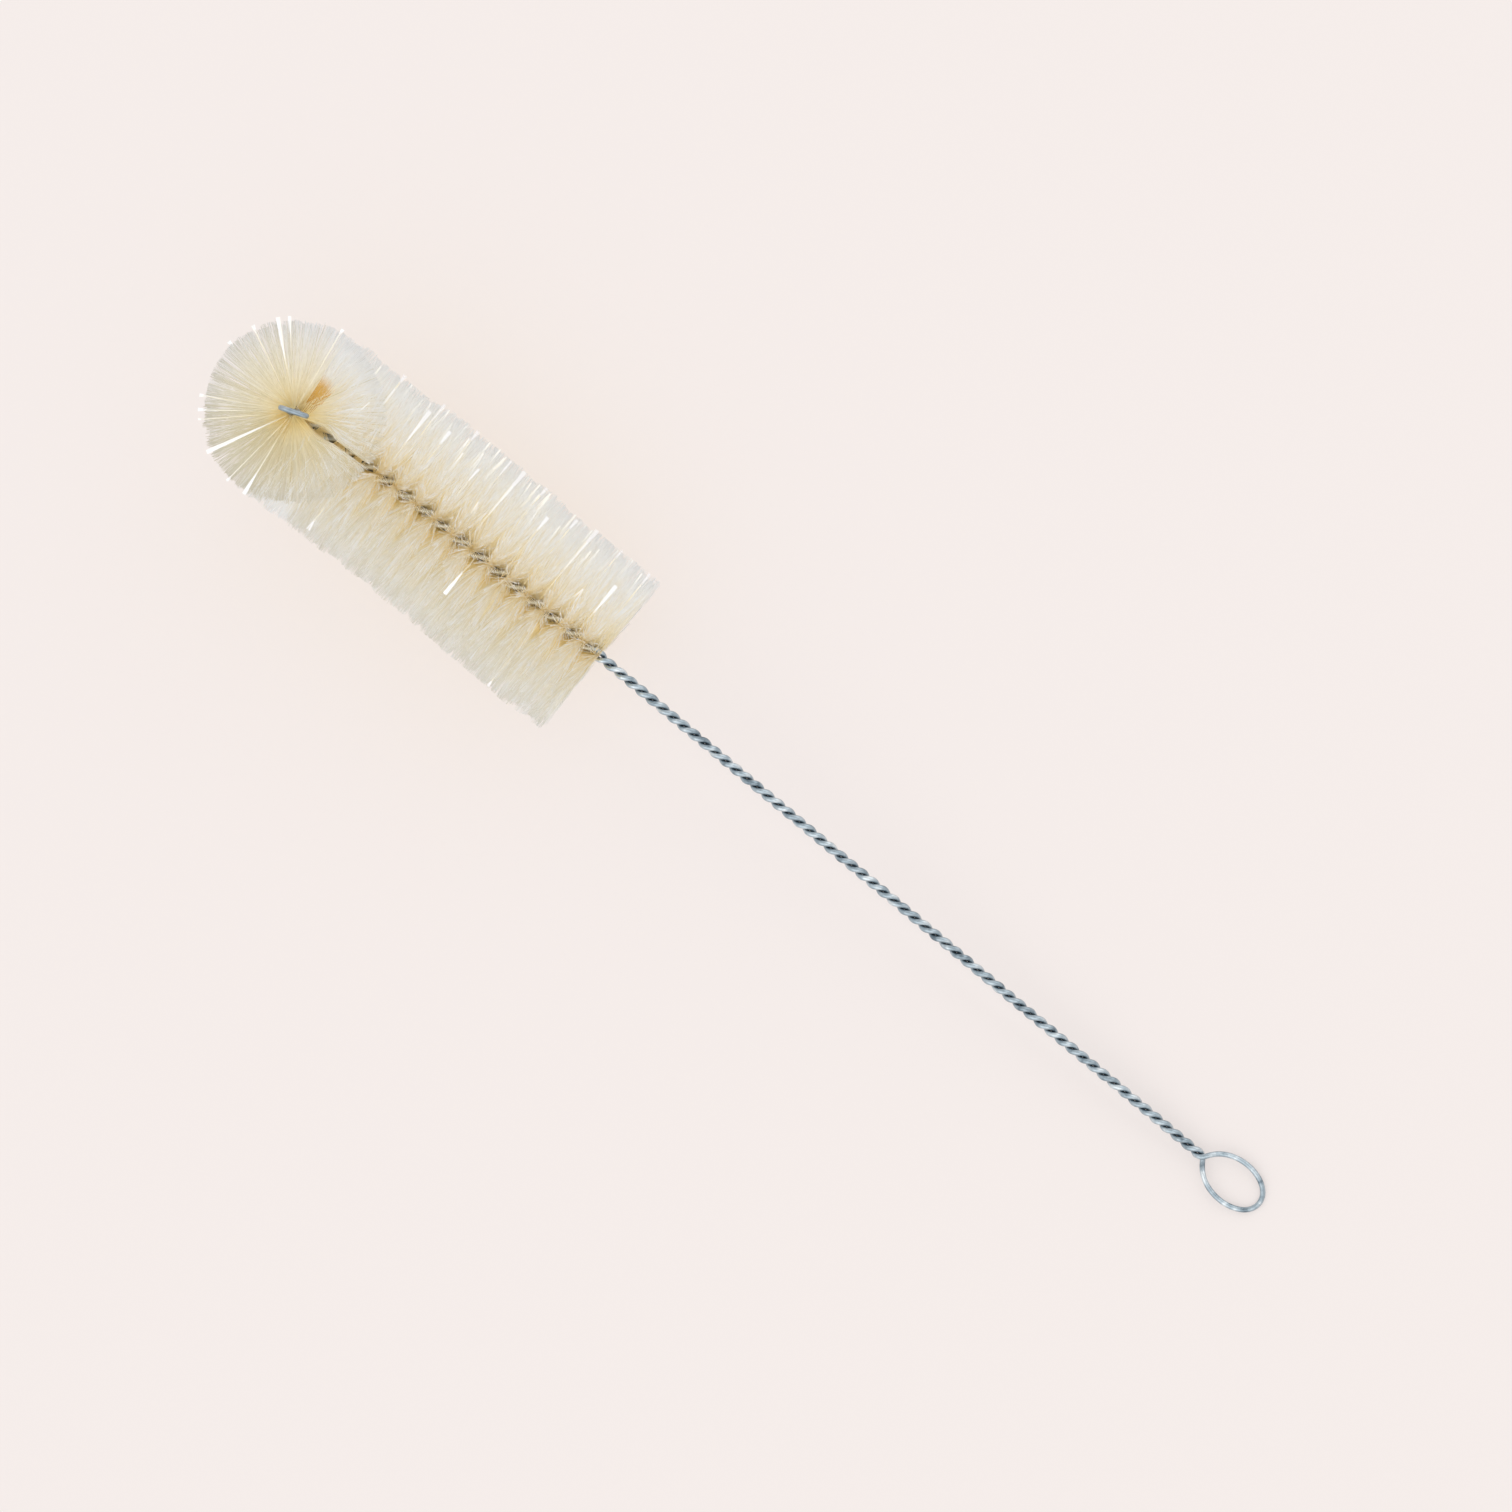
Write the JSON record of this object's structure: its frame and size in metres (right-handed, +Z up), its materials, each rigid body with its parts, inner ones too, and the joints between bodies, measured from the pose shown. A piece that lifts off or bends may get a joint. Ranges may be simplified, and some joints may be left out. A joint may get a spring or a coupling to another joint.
{
  "type": "bottle brush",
  "caption": "Bottle brush: a straight twisted-wire stem with a handle loop and a round head of spiral bristle rows whose end is turned up.",
  "frame": {"origin": "middle of the brush's length and width, on the surface that it lies on", "axes": "+X from the bristles towards the handle loop, +Z up from that surface, with the brush's turned-up tip pointing up"},
  "size_m": [0.397, 0.0598, 0.0646],
  "materials": {
    "galvanised_wire": "satin",
    "natural_bristle": "satin"
  },
  "bodies": {
    "root": {"twisted_wire": "galvanised_wire", "bristle_fill": "natural_bristle"}
  },
  "joints": []
}
